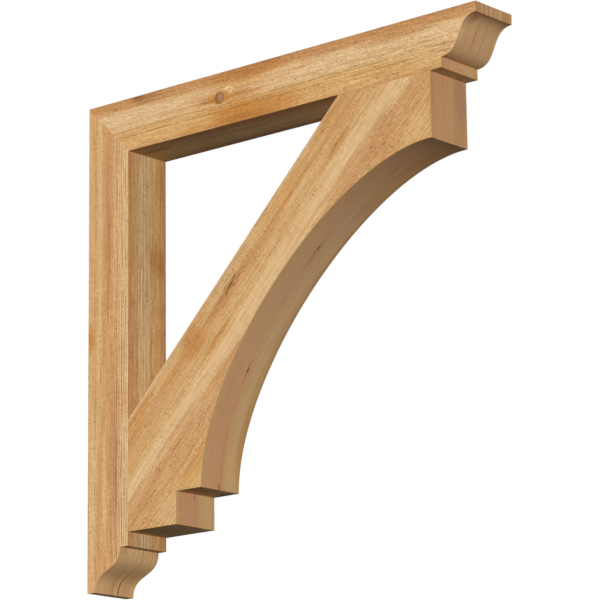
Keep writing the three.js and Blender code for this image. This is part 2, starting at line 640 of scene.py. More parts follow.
def group_grain_wander():
    """Moves the grain sideways: long slow bends plus short wobbles, both from noise."""
    t, entry = start_group("grain_wander", {"Place": ORIGIN, "Amount": 0.003, "Seed": 0.0}, ["Place"])
    moved = t.vector("ADD", entry["Place"], t.join(z=entry["Seed"]))
    slow = t.noise(moved, (4.0, 9.0, 3.0), 1.0)
    quick = t.noise(moved, (26.0, 60.0, 10.0), 1.0)
    quick_share = 0.22
    bend = t.minus(t.math("MULTIPLY_ADD", quick, quick_share, slow), 0.5 * (1 + quick_share))
    aside = t.times(t.times(bend, entry["Amount"]), 4.0)
    t.put_out(Place=t.vector("ADD", entry["Place"], t.join(y=aside)))


def group_fine_grain():
    """Streaks along the grain: hair-thin ones and some a few millimetres wide."""
    t, entry = start_group("fine_grain", {"Place": ORIGIN, "Amount": 0.1}, ["Shade", "Height"])
    hairs = t.noise(entry["Place"], (9.0, 520.0, 160.0), 2.0, 0.6)
    streaks = t.noise(entry["Place"], (24.0, 210.0, 80.0), 2.0)
    streak_share = 0.6
    both = t.math("MULTIPLY_ADD", streaks, streak_share, hairs)
    t.put_out(Shade=t.swing(both, 0.5 * (1 + streak_share), entry["Amount"], 3.0), Height=hairs)


def group_saw_strokes():
    """Short torn fibres that the saw leaves, at a slant to the grain. Their lighter and darker colour is
    partly the fibres' own and partly painted shade of the rough surface, beside the bump that their height
    gives.
    """
    inputs = {"Place": ORIGIN, "Slant": -0.38, "Amount": 0.08}
    t, entry = start_group("saw_strokes", inputs, ["Shade", "Height"])
    turn = {"Vector": entry["Place"], "Angle": entry["Slant"], "Axis": (0.0, 0.0, 1.0)}
    turned = t.add("VectorRotate", turn, rotation_type="AXIS_ANGLE").outputs[0]
    strokes = t.noise(turned, (95.0, 330.0, 120.0), 3.0, 0.65)
    t.put_out(Shade=t.swing(strokes, 0.5, entry["Amount"], 3.6), Height=strokes)


def group_saw_marks():
    """Faint marks square to the grain, left by the saw's teeth: painted shade of their shallow ridges, a
    change of colour only, with no bump.
    """
    t, entry = start_group("saw_marks", {"Place": ORIGIN, "Amount": 0.05}, ["Shade"])
    marks = t.noise(entry["Place"], (330.0, 24.0, 24.0), 2.0, 0.6)
    t.put_out(Shade=t.swing(marks, 0.5, entry["Amount"], 2.6))


def group_pits():
    """Small dark pits: the middles of scattered cells, in rows where a second noise, stretched along
    the grain, is high. Their darkness is partly the wood's own and partly painted shade in small hollows."""
    t, entry = start_group("pits", {"Place": ORIGIN, "Amount": 0.5}, ["Mask"])
    cells = {"Vector": t.vector("MULTIPLY", entry["Place"], (270.0, 430.0, 200.0)), "Scale": 1.0}
    spots = t.fade(t.add("TexVoronoi", cells, feature="F1").outputs["Distance"], 0.16, 0.48, 1.0, 0.0)
    where = t.fade(t.noise(entry["Place"], (22.0, 150.0, 60.0), 3.0, 0.7), 0.46, 0.64)
    t.put_out(Mask=t.times(t.times(spots, where), entry["Amount"]))


def group_growth_line():
    """One thin dark line along the grain, stronger and weaker along its length."""
    inputs = {"Place": ORIGIN, "Across": 0.05, "Thickness": 0.0008}
    t, entry = start_group("growth_line", inputs, ["Mask"])
    away = t.math("ABSOLUTE", t.minus(t.split(entry["Place"])[1], entry["Across"]))
    line = t.fade(t.math("DIVIDE", away, entry["Thickness"]), 0.2, 1.0, 1.0, 0.0)
    strength = t.fade(t.noise(entry["Place"], (14.0, 40.0, 20.0), 2.0), 0.32, 0.6, 0.25, 1.0)
    t.put_out(Mask=t.times(line, strength))


def group_soft_patch():
    """A patch with soft edges: 1 at its middle, 0 past its half-sizes along and across."""
    inputs = {"Place": ORIGIN, "Middle": ORIGIN, "Reach": (0.03, 0.01, 1.0), "Edge": 0.3}
    t, entry = start_group("soft_patch", inputs, ["Mask"])
    away = t.vector("SUBTRACT", entry["Place"], entry["Middle"])
    radius = t.vector("LENGTH", t.vector("DIVIDE", away, entry["Reach"]))
    torn = t.minus(t.noise(entry["Place"], (90.0, 420.0, 80.0), 3.0, 0.6), 0.5)
    radius = t.math("MULTIPLY_ADD", torn, entry["Edge"], radius)
    t.put_out(Mask=t.fade(radius, 0.3, 1.05, 1.0, 0.0))


def group_knot():
    """A knot: masks of its core, its bark ring and its halo of dark wood, and the grain bent round
    it, by drawing each place towards the knot's middle so that the lines bulge outwards."""
    inputs = {"Place": ORIGIN, "Middle": ORIGIN, "Radius": 0.0075, "Depth": 0.03}
    t, entry = start_group("knot", inputs, ["Place", "Core", "Ring", "Halo"])
    along, across, through = t.split(t.vector("SUBTRACT", entry["Place"], entry["Middle"]))
    near = t.fade(t.math("ABSOLUTE", through), t.times(entry["Depth"], 0.3), entry["Depth"], 1.0, 0.0)
    torn = t.times(t.minus(t.noise(entry["Place"], (150.0, 210.0, 80.0), 3.0), 0.5), 0.9)
    along = t.math("DIVIDE", along, entry["Radius"])
    across = t.math("DIVIDE", across, entry["Radius"])

    def reach(stretch, squeeze, shift=(0.0, 0.0)):
        """Distance from the knot's middle in radii, those along and across the grain stretched."""
        flat = t.join(t.plus(along, shift[0]), t.plus(across, shift[1]))
        return t.vector("LENGTH", t.vector("MULTIPLY", flat, (1 / stretch, 1 / squeeze, 0.0)))

    core = t.plus(reach(0.9, 1.08), torn)
    bark = t.plus(reach(1.2, 1.2, (0.35, -0.14)), torn)
    ring = t.times(t.fade(core, 0.75, 1.05), t.fade(bark, 1.0, 1.5, 1.0, 0.0))
    halo = t.fade(t.plus(reach(5.2, 1.9), torn), 0.25, 1.1, 1.0, 0.0)
    pull = t.times(t.fade(reach(3.6, 2.6), 0.1, 1.0, 0.72, 0.0), near)
    aside = t.times(t.times(across, entry["Radius"]), t.times(pull, -1.0))
    t.put_out(
        Place=t.vector("ADD", entry["Place"], t.join(y=aside)),
        Core=t.times(t.fade(core, 0.75, 1.05, 1.0, 0.0), near),
        Ring=t.times(ring, near),
        Halo=t.times(halo, near),
    )


SHARED_EFFECTS = (
    group_board_place,
    group_grain_wander,
    group_fine_grain,
    group_saw_strokes,
    group_saw_marks,
    group_pits,
    group_growth_line,
    group_soft_patch,
    group_knot,
)


# Sawn softwood

# How far the grain of the narrow faces wanders, and how deep their relief is beside the wide ones'
EDGE_WANDER = 0.0012
EDGE_RELIEF = 0.7

# How deep into the board a patch reaches
PATCH_DEPTH = 0.04

# Parts of a knot, from the outside in: how strongly each shows, and its tone
KNOT_PARTS = (
    ("Halo", 0.9, "amber"),
    ("Ring", 0.9, "umber-amber-umber"),
    ("Core", 0.85, "knot-knot-russet-umber"),
)

# Washes of another tone: cells of noise per metre along, across and through the board, the values
# of the noise at which the wash starts and is full, its full strength, and its tone
EDGE_WASHES = (((5, 60, 1), 0.52, 0.75, 0.35, "amber"),)


def side_washes(warm, pale):
    """Washes of a wide face: warm heartwood and pale sapwood, each at its own strength."""
    return (((7, 55, 20), 0.52, 0.74, warm, "amber"), ((5, 70, 31), 0.48, 0.28, pale, "cream"))


def blend_tone(tones, name):
    """A tone by name, or the mean of several joined by hyphens."""
    parts = [np.array(getattr(tones, part)) for part in name.split("-")]
    return tuple(np.mean(parts, axis=0))


def banded_colour(t, flow, bands, span, tones):
    """Colour along a run of bands over the board's span, each with its place across and its tone."""
    stops = [(across * MILLIMETRE / span, blend_tone(tones, name)) for across, name in bands]
    return t.ramp(t.math("DIVIDE", t.split(flow)[1], span), stops)


def add_washes(t, flow, washes, colour, tones):
    for cells, start, full, strength, name in washes:
        share = t.fade(t.noise(flow, cells, 3.0), start, full, 0.0, strength)
        colour = t.mix(share, colour, blend_tone(tones, name))
    return colour


def patch_size(along, across, half_length, half_width, face):
    """Middle and half-sizes of a patch on the face that lies at a place through the board."""
    return {
        "Middle": (*in_metres(along, across), face),
        "Reach": (*in_metres(half_length, half_width), PATCH_DEPTH),
    }


def add_patches(t, place, flow, patches, face, colour, tones):
    """Patches of other tones. Soft ones bend with the grain. Torn ones stay put, and their last
    number says how ragged they are."""
    for along, across, half_length, half_width, name, strength, *ragged in patches:
        inputs = patch_size(along, across, half_length, half_width, face)
        inputs |= {"Place": place, "Edge": ragged[0]} if ragged else {"Place": flow}
        mask = t.group("soft_patch", inputs)["Mask"]
        colour = t.mix(t.times(mask, strength), colour, blend_tone(tones, name))
    return colour


def add_lines(t, flow, lines, colour, tones):
    """Growth lines, dark unless a tone is named last."""
    for across, thickness, strength, *name in lines:
        inputs = {"Place": flow, "Across": across * MILLIMETRE, "Thickness": thickness * MILLIMETRE}
        mask = t.group("growth_line", inputs)["Mask"]
        colour = t.mix(t.times(mask, strength), colour, blend_tone(tones, *name or ["umber"]))
    return colour


def sawn_strength(t, flow, stretches, face):
    """1 for the saw's usual roughness, times each stretch's own strength in that stretch's middle."""
    total = 1.0
    for *size, strength in stretches:
        mask = t.group("soft_patch", patch_size(*size, face) | {"Place": flow})["Mask"]
        total = t.times(t.math("MULTIPLY_ADD", mask, strength - 1.0, 1.0), total)
    return total


def add_pits(t, place, amount, colour, tones):
    """Dark pits, partly painted shade in small hollows, with their mask."""
    pits = t.group("pits", {"Place": place, "Amount": amount})["Mask"]
    return pits, t.mix(pits, colour, tones.umber)


def sawn_side(t, place, board, tones):
    """Colour and height of a wide sawn face."""
    face = board["side"]
    knots = []
    flow = place
    for along, across, through, radius, depth in board["knots"]:
        inputs = {"Place": flow, "Middle": (*in_metres(along, across), through)}
        inputs |= {"Radius": radius * MILLIMETRE, "Depth": depth * MILLIMETRE}
        knots.append(t.group("knot", inputs))
        flow = knots[-1]["Place"]
    wander = {"Place": flow, "Amount": face["wander"] * MILLIMETRE, "Seed": board["seed"]}
    flow = t.group("grain_wander", wander)["Place"]
    colour = banded_colour(t, flow, face["bands"], board["depth"], tones)
    colour = add_washes(t, flow, face["washes"], colour, tones)
    colour = add_patches(t, place, flow, face["patches"], NEAR, colour, tones)
    colour = add_patches(t, place, flow, face["far_patches"], FAR, colour, tones)
    colour = add_lines(t, flow, face["lines"], colour, tones)

    rough = sawn_strength(t, flow, face["stretches"], NEAR)
    grain = t.group("fine_grain", {"Place": flow, "Amount": face["grain"]})
    strokes = t.group("saw_strokes", {"Place": place, "Amount": t.times(rough, face["strokes"])})
    marks = t.group("saw_marks", {"Place": place, "Amount": face["marks"]})
    # Grain streaks, and the painted shade of the saw's strokes and marks, lighten and darken the colour.
    colour = t.shade(colour, t.times(t.times(grain["Shade"], strokes["Shade"]), marks["Shade"]))
    pits, colour = add_pits(t, place, t.times(rough, face["pits"]), colour, tones)
    for knot in knots:
        for part, strength, name in KNOT_PARTS:
            colour = t.mix(t.times(knot[part], strength), colour, blend_tone(tones, name))
    return colour, t.minus(t.plus(grain["Height"], strokes["Height"]), pits)


def sawn_edge(t, board, tones):
    """Colour and height of the narrow faces, where the grain follows the shaped outline. They are
    mapped flat, so a place on them is at 0 through the board."""
    face = board["edge"]
    flat = 0.0
    sweep = t.add("UVMap", uv_map="sweep").outputs[0]
    flow = t.group("grain_wander", {"Place": sweep, "Amount": EDGE_WANDER, "Seed": board["seed"]})["Place"]
    colour = banded_colour(t, flow, face["bands"], WIDTH, tones)
    colour = add_washes(t, flow, EDGE_WASHES, colour, tones)
    colour = add_patches(t, sweep, flow, face["patches"], flat, colour, tones)
    colour = add_lines(t, flow, face["lines"], colour, tones)

    rough = sawn_strength(t, flow, face["stretches"], flat)
    grain = t.group("fine_grain", {"Place": flow, "Amount": t.times(rough, face["grain"])})
    strokes = t.group("saw_strokes", {"Place": sweep, "Amount": t.times(rough, face["strokes"])})
    # Grain streaks, and the painted shade of the saw's strokes, lighten and darken the colour.
    colour = t.shade(colour, t.times(grain["Shade"], strokes["Shade"]))
    _, colour = add_pits(t, sweep, t.times(rough, face["pits"]), colour, tones)
    return colour, t.times(t.plus(grain["Height"], strokes["Height"]), EDGE_RELIEF)


def timber_material(name, board, tones):
    """Sawn softwood: its wide faces and its narrow faces, joined by the face attribute."""
    material = bpy.data.materials.new(name)
    material.use_nodes = True
    t = Shades(material.node_tree)
    point = t.add("TexCoord").outputs["Object"]
    inputs = {"Point": point, "Start": board["start"], "Along": board["along"], "Across": board["across"]}
    place = t.group("board_place", inputs)["Place"]
    side, side_height = sawn_side(t, place, board, tones)
    edge, edge_height = sawn_edge(t, board, tones)
    wide = t.add("Attribute", attribute_name="sawn_side", attribute_type="GEOMETRY").outputs["Fac"]
    height = t.add("Mix", {0: wide, 2: edge_height, 3: side_height}, data_type="FLOAT").outputs[0]
    bump = t.add("Bump", {"Strength": 0.5, "Distance": 0.0004, "Height": height})
    surface = {
        "Base Color": t.mix(wide, edge, side),
        "Normal": bump.outputs[0],
        "Roughness": t.fade(height, 0.0, 1.6, 0.92, 0.78),
        "Specular IOR Level": 0.25,
    }
    t.feed(material.node_tree.nodes["Principled BSDF"], surface)
    return material


# Boards, in millimetres along the board and across it from its back edge.
# knots: along, across, face, radius, depth of the wood it shows in.
# checks: along, across, half length, half width, depth.
# stretches: along, across, half length, half width, strength of the saw's marks there.
# bands: across, tone. lines: across, half thickness, strength, and a tone where it isn't dark.
# patches: along, across, half length, half width, tone, strength, and how ragged it is where torn.

# The arm's sweep ends on its lip, with these lines up it: across, half width, tone, strength
LIP_PLACE = 862.3
LIP_LINES = (
    (12, 2, "umber", 0.5), (24, 3, "umber", 0.35), (36, 4, "russet", 0.7), (52, 2, "umber", 0.4),
    (61, 2, "umber", 0.35), (82, 14, "rose", 0.8),
)

ARM_BOARD = {
    "seed": 1.7,
    "knots": ((331, 46.5, NEAR, 7.6, 45), (610, 62, FAR, 9, 40)),
    "checks": (),
    "side": {
        "wander": 2.2,
        "washes": side_washes(warm=0.45, pale=0.3),
        "grain": 0.26,
        "strokes": 0.29,
        "marks": 0.05,
        "pits": 0.8,
        "stretches": ((700, 50, 260, 120, 1.2),),
        "bands": (
            (0, "rose-umber"), (1.5, "russet-rose"), (6, "russet-tan"), (16, "tan-russet"),
            (22, "tan-cream"), (28, "cream"), (44, "cream"), (49, "straw-cream"), (54, "cream"),
            (60, "straw"), (68, "honey-straw"), (90, "honey-straw"), (101, "tan"),
        ),
        "lines": (
            (8, 0.9, 0.3), (49.5, 1.0, 0.3), (61.8, 1.2, 0.55), (67.5, 0.8, 0.3), (73.6, 1.3, 0.62),
            (82, 0.8, 0.25),
        ),
        "patches": (
            (395, 12, 130, 17, "russet-amber", 1.0), (395, 5, 110, 14, "umber", 0.15),
            (395, 32, 100, 13, "honey-amber", 0.6), (380, 86, 112, 32, "amber", 0.95),
            (320, 45, 100, 40, "amber", 0.3), (470, 86, 80, 26, "amber", 0.6),
            (262, 95, 50, 14, "amber", 0.45), (395, 97, 105, 14, "amber-umber-amber", 0.6),
            (385, 51, 80, 9, "amber", 0.65), (302, 50, 32, 3, "russet-umber", 0.9, 1.2),
            (314, 49, 15, 6, "amber-umber", 0.85, 1.2), (345, 47, 2.6, 9, "amber-umber", 0.8, 0.7),
            (350, 34, 13, 6, "torn", 1.0, 2.6), (358, 40, 9, 5, "torn", 0.9, 2.6),
            (354, 35, 2, 5, "russet-umber", 0.8, 1.2), (363, 41, 8, 1.3, "russet-umber", 0.8, 1.4),
            (374, 46, 20, 3, "russet-umber", 0.45, 1.2), (128, 5, 38, 11, "amber-russet", 0.7),
            (127, 4, 20, 8, "russet-umber-umber", 1.0, 1.2), (150, 8, 50, 14, "russet-umber", 0.4, 1.0),
            (740, 24, 100, 12, "russet-tan", 0.7), (740, 88, 60, 9, "russet-tan", 0.35),
            (820, 66, 110, 26, "straw-cream", 0.7),
        ),
        "far_patches": ((560, 70, 110, 20, "amber", 0.7),),
    },
    "edge": {
        "grain": 0.24,
        "strokes": 0.18,
        "pits": 0.3,
        "stretches": ((800, 50, 90, 200, 0.3),),
        "bands": (
            (0, "russet"), (7.62, "blush-tan"), (30.48, "blush"), (55.88, "blush-straw"), (76.2, "straw"),
            (91.44, "blush-tan"), (101.6, "tan"),
        ),
        "lines": ((12, 0.8, 0.3), (22, 0.8, 0.3), (47, 0.9, 0.3), (77, 0.7, 0.25)),
        "patches": (
            # Painted shade: the cream-straw-umber patch, the olive strip down its middle and the olive patch
            # at 717 darken the arm's underside and stand in for the shade beneath it. They follow the sweep,
            # so the arm's top takes them too at the same places along.
            (150, 60, 560, 130, "cream-straw-umber", 0.95),
            (250, 56, 420, 34, "olive-olive-olive-cream", 0.95),
            (300, 6, 420, 20, "amber-amber-umber", 0.5), (300, 98, 420, 20, "umber-umber-straw", 0.75),
            (240, 40, 160, 3, "umber", 0.35, 1.4), (330, 66, 110, 3, "umber", 0.3, 1.4),
            # Painted light: the cream-blush patch at 800 lightens the fillet and the S-curve of the nose,
            # and stands in for the light falling on them.
            (800, 50, 85, 200, "cream-blush", 0.6), (40, 34, 60, 9, "amber-umber", 0.6, 1.0),
            *((LIP_PLACE, across, 8, half_width, name, strength, 0.8)
              for across, half_width, name, strength in LIP_LINES),
            # Painted shade: the olive-olive-cream patch at 717 carries the underside's painted shade out to
            # the fillet.
            (717, 50, 22, 200, "olive-olive-cream", 0.9), (832, 32, 32, 26, "honey-cream", 0.8, 0.8),
            (812, 7, 24, 11, "cream", 0.9), (842, 18, 14, 12, "umber", 0.3, 1.2),
            (815, 42, 42, 3, "umber", 0.3, 1.0), (800, 66, 50, 3, "olive-umber", 0.35, 1.0),
        ),
    },
}

POST_BOARD = {
    "seed": 4.1,
    "knots": ((700, 48, FAR, 8, 40),),
    "checks": (),
    "side": {
        "wander": 1.6,
        "washes": side_washes(warm=0.4, pale=0.25),
        "grain": 0.25,
        "strokes": 0.2,
        "marks": 0.12,
        "pits": 0.75,
        "stretches": ((220, 30, 170, 34, 0.6),),
        "bands": (
            (0, "straw-tan"), (5, "straw"), (11, "straw-tan"), (19, "straw-tan"), (26, "straw"),
            (31, "straw-cream"), (37, "tan"), (44, "tan"), (52, "tan-honey"), (58, "tan-rose"),
            (62, "tan-rose"), (66, "straw-cream"), (71, "straw-tan"), (79, "cream-straw"), (84, "straw"),
            (90, "cream"), (101, "cream"),
        ),
        "lines": (
            (18.2, 1.1, 0.4), (31.5, 0.9, 0.28), (51, 1.2, 0.28), (67, 0.9, 0.4),
            (69.6, 1.2, 0.4, "cream"), (72.5, 1.1, 0.78), (78.8, 0.8, 0.66), (82.2, 1.3, 0.5, "cream"),
            (85.2, 1.1, 0.88), (87.6, 1.2, 0.6, "cream"), (89.9, 0.7, 0.66), (93.8, 1.0, 0.82),
            (96.2, 1.2, 0.6, "cream"), (98.4, 0.7, 0.58),
        ),
        "patches": (
            (240, 50, 230, 10, "rose", 1.0), (290, 53, 120, 6, "rose-russet", 0.5),
            (650, 69, 260, 10, "rose", 0.9), (700, 69, 150, 7, "rose-russet-knot", 0.9),
            (730, 14, 190, 12, "cream", 0.75), (720, 42, 150, 8, "cream", 0.7),
            (690, 32, 140, 9, "amber", 0.35), (460, 69, 120, 9, "honey", 0.6),
            (440, 9, 36, 9, "amber", 0.8), (450, 14, 14, 4, "rose-umber", 0.4, 0.7),
            (790, 29, 110, 7, "amber-rose", 0.5), (860, 26, 60, 10, "amber-russet", 0.5),
            (570, 88, 60, 16, "honey", 0.5),
        ),
        "far_patches": ((300, 60, 200, 12, "rose", 0.8),),
    },
    "edge": {
        "grain": 0.36,
        "strokes": 0.22,
        "pits": 0.8,
        "stretches": ((50, 50, 75, 200, 0.3),),
        "bands": (
            (0, "tan-russet"), (12.7, "tan"), (22.86, "tan-straw"), (35.56, "cream"),
            (50.8, "straw-cream"), (60.96, "straw-cream-olive"), (71.12, "honey-straw"),
            (81.28, "honey-tan"), (93.98, "russet-tan"), (101.6, "russet"),
        ),
        "lines": (
            (25, 0.9, 0.52), (33, 0.7, 0.44), (40.6, 1.0, 0.66), (49, 0.9, 0.6), (61, 1.1, 0.74),
            (66, 0.8, 0.52), (74, 0.7, 0.44), (86, 1.1, 0.5),
        ),
        "patches": (
            # Painted light: the torn-blush-honey patch at 40 lightens the foot's S-curve and fillet, and
            # stands in for the light falling on them. It follows the sweep, so the wall face takes it too
            # near the foot.
            (665, 78, 38, 30, "amber-russet", 0.8), (40, 50, 100, 200, "torn-blush-honey", 1.0),
            (20, 60, 60, 2.6, "umber", 0.65, 0.6), (22, 45, 50, 3.4, "umber", 0.4, 0.6),
            (24, 36, 44, 5, "russet", 0.3, 0.6), (24, 78, 60, 14, "rose", 0.3, 0.5),
        ),
    },
}

BRACE_BOARD = {
    "seed": 8.3,
    "knots": ((620, 60, FAR, 9, 40),),
    "checks": ((458, 49, 9, 0.8, 0.9), (716, 48.4, 12, 0.8, 0.9), (242, 49, 5, 0.8, 0.6)),
    "side": {
        "wander": 3,
        "washes": side_washes(warm=0.5, pale=0.3),
        "grain": 0.21,
        "strokes": 0.21,
        "marks": 0.12,
        "pits": 0.8,
        "stretches": (
            (420, 99, 560, 22, 0.25), (40, 150, 260, 60, 1.3), (700, 150, 160, 60, 1.35),
        ),
        "bands": (
            (0, "cream"), (7, "cream-straw"), (16, "straw"), (24, "tan-straw"), (32, "tan-russet"),
            (39, "tan"), (45, "tan"), (54, "tan-straw"), (63, "tan-straw"), (70, "straw"), (78, "straw"),
            (84, "straw-cream"), (89, "cream"), (95, "cream-straw-cream"), (106, "cream"),
            (113, "cream-straw"), (120, "tan-straw"), (130, "tan-rose"), (146, "tan"), (168, "tan"),
            (182, "tan-honey"), (205, "straw-honey"), (228, "straw"),
        ),
        "lines": (
            (5, 0.9, 0.5), (9.5, 0.9, 0.5), (13.5, 0.9, 0.42), (60, 0.8, 0.3), (70, 1.0, 0.42),
            (75, 0.7, 0.3), (105.5, 1.0, 0.32), (122, 0.8, 0.34), (146, 1.2, 0.42), (162, 0.8, 0.34),
            (176, 0.8, 0.5), (183, 0.9, 0.56), (188, 0.7, 0.5), (193, 0.9, 0.6), (198, 0.7, 0.5),
            (203, 0.9, 0.6), (211, 0.9, 0.55), (219, 0.9, 0.5),
        ),
        "patches": (
            (198, 30, 42, 34, "amber-russet", 0.8), (20, 16, 70, 16, "amber", 0.6),
            (235, 72, 60, 10, "amber-russet", 0.75), (245, 82, 80, 9, "tan-honey", 0.5),
            (250, 113, 90, 9, "cream", 0.6), (330, 9, 60, 9, "cream", 0.7),
            (323, 32, 130, 9, "russet", 0.5), (323, 30, 46, 9, "umber", 0.36, 6),
            (326, 29, 12, 2.2, "umber", 1.0, 1.0), (310, 33, 7, 1.7, "umber", 0.75, 1.4),
            (340, 26, 8, 1.6, "umber", 0.75, 1.4), (331, 37, 6, 1.7, "umber", 0.6, 1.4),
            (315, 23, 6, 1.4, "umber", 0.6, 1.4), (335, 4.5, 100, 1.5, "umber", 0.5, 0.6),
            (345, 9.5, 90, 1.3, "umber", 0.5, 0.6), (325, 15, 70, 1.3, "umber", 0.4, 0.6),
            (650, 62, 52, 11, "amber-russet", 0.8), (680, 12, 86, 16, "amber-russet", 0.6),
            (230, 12, 50, 16, "amber", 0.3), (735, 114, 50, 16, "rose-russet", 0.5),
            (705, 140, 60, 34, "rose-russet", 0.4), (770, 188, 60, 24, "cream", 0.5),
            (-50, 196, 60, 32, "straw-cream", 0.85), (60, 108, 110, 9, "tan-rose", 0.6),
            (120, 30, 90, 9, "amber", 0.4), (520, 18, 130, 8, "amber", 0.4),
            (560, 43, 130, 10, "straw-cream", 0.6), (560, 76, 190, 13, "straw-cream", 0.7),
            (530, 105, 130, 6, "tan", 0.6), (-85, 112, 60, 9, "rose-tan", 0.7),
            (-85, 140, 45, 18, "russet-tan", 0.5), (640, 111, 110, 11, "rose-tan", 0.7),
            (690, 78, 110, 10, "cream", 0.55), (230, 124, 60, 16, "rose-tan", 0.5),
        ),
        "far_patches": ((430, 92, 200, 12, "amber", 0.5),),
    },
    "edge": {
        "grain": 0.09,
        "strokes": 0.03,
        "pits": 0.1,
        "stretches": ((450, 30, 300, 30, 0.3),),
        "bands": (
            (0, "straw"), (6.35, "straw-tan"), (13.97, "blush"), (53.34, "blush"), (63.5, "straw"),
            (73.66, "straw-straw-cream"), (86.36, "straw"), (101.6, "straw"),
        ),
        "lines": ((49.5, 0.9, 0.2), (66, 0.7, 0.25), (72, 0.8, 0.25)),
        "patches": (
            (1000, 80, 130, 34, "rose-tan", 0.9), (790, 66, 90, 40, "blush-knot-cream", 0.5),
            (1130, 84, 85, 32, "rose-rose-knot", 0.8), (1130, 6, 85, 12, "tan-rose", 0.7),
            # Painted shade: the straw-olive-umber patches at 20 and 208 darken the undersides of the foot
            # and the step, and stand in for the shade under them. They follow the sweep, so the back edge
            # takes them too at the same places along.
            (20, 50, 120, 200, "straw-olive-umber", 0.85), (208, 50, 34, 200, "straw-olive-umber", 0.95),
            # Painted light: the cream-blush patch at 640 lightens the middle of the arch, and stands in for
            # the light falling on it.
            (208, 98, 34, 24, "umber", 0.7), (640, 40, 300, 200, "cream-blush", 0.55),
            (600, 99, 480, 9, "russet-umber", 0.4), (330, 97, 110, 17, "russet-tan", 0.7),
            (870, 78, 110, 26, "rose-tan", 0.6), (560, 68, 200, 2.6, "cream", 0.8, 0.8),
            (480, 88, 220, 3, "olive-umber", 0.3, 0.8), (640, 77, 150, 2.6, "cream", 0.6, 0.8),
            # Painted shade: the umber patches at 458, 702, 716 and 242 darken the checks, and stand in for
            # the shade in their slits, which are also cut into the mesh.
            (458, 49, 28, 1.9, "umber", 0.5, 0.5), (458, 49, 7, 2.8, "umber", 0.95),
            (702, 48.4, 56, 1.6, "umber", 0.5, 0.5), (716, 48.4, 10, 2.8, "umber", 0.95),
            (242, 49, 10, 2.2, "umber", 0.8), (172, 49, 12, 1.5, "umber", 0.75, 0.6),
            (150, 84, 60, 14, "straw-cream", 0.6),
        ),
    },
}


# Operators, one for each timber and one for the studio


def laid(board, start, along, across, depth):
    """A board with its place: its start and its directions in elevation (x, z), and its depth."""
    axes = {"start": start, "along": along, "across": across}
    return board | {name: (x, 0.0, z) for name, (x, z) in axes.items()} | {"depth": depth}


def make_timber(node, slot, legs, back_ends, joints, pitch, board):
    """Builds a timber from the legs of its front and the two ends of its back, dresses it, and
    stands it in for its solid."""
    if "board_place" not in bpy.data.node_groups:
        for make_effect in SHARED_EFFECTS:
            make_effect()
    scene = bpy.context.scene
    arris = scene.bracket_shape.arris
    widths = across_width(pitch, arris, board["checks"])
    rows = int(round(board["depth"] / pitch))
    bar = Bar(chain(legs, arris), back_ends, widths, rows, arris, joints)
    timber = build_timber(node + "_timber", bar, board)
    timber.data.materials.append(timber_material(slot, board, scene.bracket_tones))
    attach(timber, "root")
    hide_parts(node)


class BRACKET_OT_wall_post(Operator):
    """Build the upright timber that lies against the wall"""

    bl_idname = "bracket.wall_post"
    bl_label = "Wall post"

    def execute(self, context):
        legs = moulded_foot(context.scene.bracket_shape, POST_PITCH)
        back_ends = ((WALL, FOOT), (WALL, TOP))
        board = laid(POST_BOARD, (WALL, TOP), (0.0, -1.0), (1.0, 0.0), POST_FACE - WALL)
        make_timber("wall_post", "post_timber", legs, back_ends, (False, True), POST_PITCH, board)
        return {"FINISHED"}


class BRACKET_OT_top_arm(Operator):
    """Build the level timber that carries the load"""

    bl_idname = "bracket.top_arm"
    bl_label = "Top arm"

    def execute(self, context):
        shape = context.scene.bracket_shape
        legs = moulded_nose(shape, POST_PITCH)
        back_ends = ((WALL + math.sqrt(2) * shape.joint, TOP), (NOSE, TOP))
        board = laid(ARM_BOARD, (WALL, TOP), (1.0, 0.0), (0.0, -1.0), TOP - ARM_UNDERSIDE)
        make_timber("top_arm", "arm_timber", legs, back_ends, (True, False), POST_PITCH, board)
        return {"FINISHED"}


class BRACKET_OT_arched_brace(Operator):
    """Build the diagonal board with its arch and step"""

    bl_idname = "bracket.arched_brace"
    bl_label = "Arched brace"

    def execute(self, context):
        shape = context.scene.bracket_shape
        legs = arched_front(shape, BRACE_PITCH)
        *_, back_low, back_high, grain = brace_corners(shape)
        board = laid(BRACE_BOARD, back_low, grain, (grain[1], -grain[0]), shape.board)
        make_timber(
            "arched_brace", "brace_timber", legs, (back_low, back_high), (True, True), BRACE_PITCH, board
        )
        return {"FINISHED"}


# Studio

# Each soft sun: where it shines from, and how wide it looks in degrees
SUNS = {
    "key": ((0.55, -0.86, -0.085), 8),
    "fill": ((-0.5, 0.85, 0.3), 60),
    "top": ((0.0, 0.0, 1.0), 20),
}

# Light of the dome straight below, level with the bracket, and overhead
DOME = ((0.0, (0.0, 0.0, 0.0)), (0.5, (0.10, 0.105, 0.10)), (1.0, (0.22, 0.22, 0.22)))

WHITE = (1.0, 1.0, 1.0, 1.0)
FLOOR_PAINT = (0.9, 0.9, 0.89, 1.0)
FLOOR_REACH = 20.0
SENSOR_WIDTH = 36
FURTHEST_SEEN = 200


def add_sun(name, towards, strength, softness):
    """A soft distant light that shines from the given direction."""
    light = bpy.data.lights.new(name, "SUN")
    light.energy = strength
    light.angle = math.radians(softness)
    lamp = bpy.data.objects.new(name, light)
    lamp.rotation_euler = Vector(towards).to_track_quat("Z", "Y").to_euler()
    bpy.context.scene.collection.objects.link(lamp)


